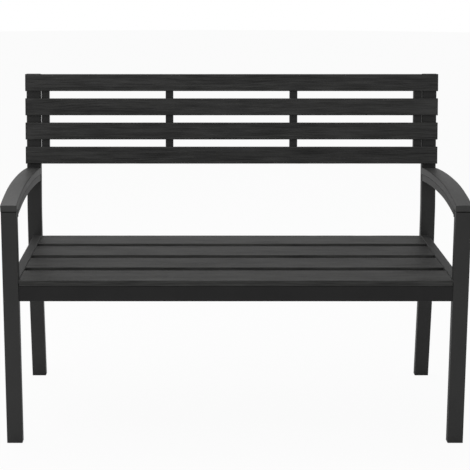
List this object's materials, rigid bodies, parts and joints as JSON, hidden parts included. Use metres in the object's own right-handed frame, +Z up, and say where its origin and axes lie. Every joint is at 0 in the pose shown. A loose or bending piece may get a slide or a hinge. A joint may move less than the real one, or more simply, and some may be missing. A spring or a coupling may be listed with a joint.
{
  "type": "metal garden bench",
  "caption": "Garden bench of black coated steel tube with a slatted seat, a leaning slatted back and arched arms with pads.",
  "frame": {"origin": "on the ground, in the middle of the bench's outline seen from above", "axes": "+X to the right of someone who faces the bench's front, along its length; +Y to the rear; +Z up"},
  "size_m": [1.183, 0.5666, 0.9008],
  "materials": {
    "frame_coat": "satin black powder coat on steel tube",
    "seat_slat_coat": "satin black powder coat on sheet steel with fine lengthwise lines",
    "back_slat_coat": "satin black powder coat on steel tube embossed with a fine wood grain",
    "arm_pad_plastic": "matt black moulded plastic, finely textured",
    "plug_plastic": "black polyethylene",
    "bolt_steel": "black zinc-plated steel",
    "rivet_nut_steel": "bright zinc-plated steel",
    "screw_steel": "black zinc-plated steel"
  },
  "bodies": {
    "root": {"arm_pad_left": "arm_pad_plastic", "arm_pad_right": "arm_pad_plastic", "arm_pad_screws": "screw_steel", "arm_tube_left": "frame_coat", "arm_tube_right": "frame_coat", "back_bolts": "bolt_steel", "back_end_upright_left": "frame_coat", "back_end_upright_right": "frame_coat", "back_middle_upright_left": "frame_coat", "back_middle_upright_right": "frame_coat", "back_rivet_nuts": "rivet_nut_steel", "back_slat_1": "back_slat_coat", "back_slat_2": "back_slat_coat", "back_slat_3": "back_slat_coat", "back_slat_4": "back_slat_coat", "back_slat_plugs_left": "plug_plastic", "back_slat_plugs_right": "plug_plastic", "back_washers": "bolt_steel", "front_foot_left": "plug_plastic", "front_foot_right": "plug_plastic", "front_leg_left": "frame_coat", "front_leg_right": "frame_coat", "rear_foot_left": "plug_plastic", "rear_foot_right": "plug_plastic", "rear_leg_cap_left": "plug_plastic", "rear_leg_cap_right": "plug_plastic", "rear_leg_left": "frame_coat", "rear_leg_right": "frame_coat", "seat_bolts": "bolt_steel", "seat_end_bearer_left": "frame_coat", "seat_end_bearer_right": "frame_coat", "seat_front_rail": "frame_coat", "seat_middle_bearer_left": "frame_coat", "seat_middle_bearer_right": "frame_coat", "seat_rear_rail": "frame_coat", "seat_rivet_nuts": "rivet_nut_steel", "seat_slat_1": "seat_slat_coat", "seat_slat_2": "seat_slat_coat", "seat_slat_3": "seat_slat_coat", "seat_slat_4": "seat_slat_coat", "seat_washers": "bolt_steel", "side_rail_left": "frame_coat", "side_rail_right": "frame_coat", "upright_plugs": "plug_plastic"}
  },
  "joints": []
}
